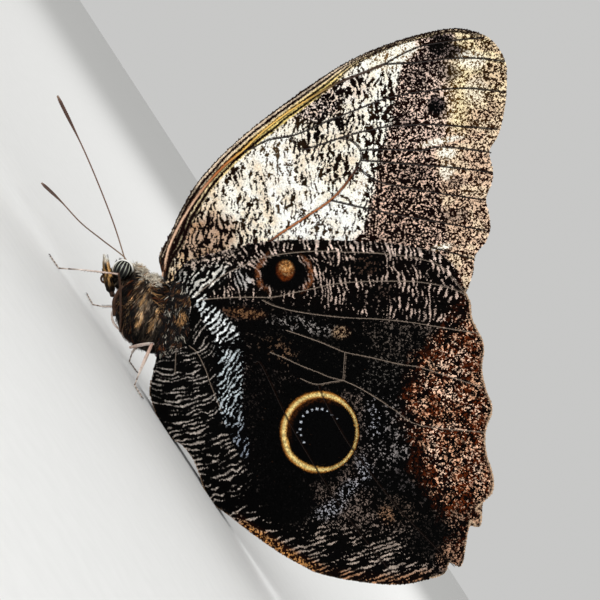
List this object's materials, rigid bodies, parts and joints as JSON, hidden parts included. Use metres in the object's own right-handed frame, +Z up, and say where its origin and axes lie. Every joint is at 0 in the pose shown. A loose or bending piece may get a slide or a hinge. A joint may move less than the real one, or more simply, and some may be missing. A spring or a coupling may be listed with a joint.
{
  "type": "owl butterfly",
  "caption": "Life-size owl butterfly at rest: wings closed over the back, hindwings outside with eyespots, striped eyes, clubbed feelers, standing on slender legs.",
  "frame": {"origin": "centre of the bounding box at floor level, on the feet and the hindwings' lower edges", "axes": "+X towards the rear, the head faces -X; +Y towards the insect's right; +Z up"},
  "size_m": [0.1095, 0.035, 0.0874],
  "materials": {
    "forewing_scales": "fine overlapping scales, matt with a faint satin",
    "hindwing_scales": "fine overlapping scales, matt",
    "body_hair": "shaggy hair, brown with tan streaks",
    "palp_hair": "close tan hair",
    "eye": "glossy dark, with pale stripes",
    "antenna": "smooth horn with fine pale rings",
    "proboscis": "smooth brown horn",
    "leg": "scaly horn with short spines"
  },
  "bodies": {
    "root": {"head": "body_hair", "thorax": "body_hair", "abdomen": "body_hair", "palp_left": "palp_hair", "palp_right": "palp_hair", "foreleg_left": "palp_hair", "foreleg_right": "palp_hair", "eye_left": "eye", "eye_right": "eye", "proboscis": "proboscis", "antenna_left": "antenna", "antenna_right": "antenna", "forewing_left": "forewing_scales", "forewing_right": "forewing_scales", "hindwing_left": "hindwing_scales", "hindwing_right": "hindwing_scales", "leg_mid_left_femur": "leg", "leg_mid_left_tibia": "leg", "leg_mid_left_tarsus": "leg", "leg_mid_right_femur": "leg", "leg_mid_right_tibia": "leg", "leg_mid_right_tarsus": "leg", "leg_hind_left_femur": "leg", "leg_hind_left_tibia": "leg", "leg_hind_left_tarsus": "leg", "leg_hind_right_femur": "leg", "leg_hind_right_tibia": "leg", "leg_hind_right_tarsus": "leg"}
  },
  "joints": []
}
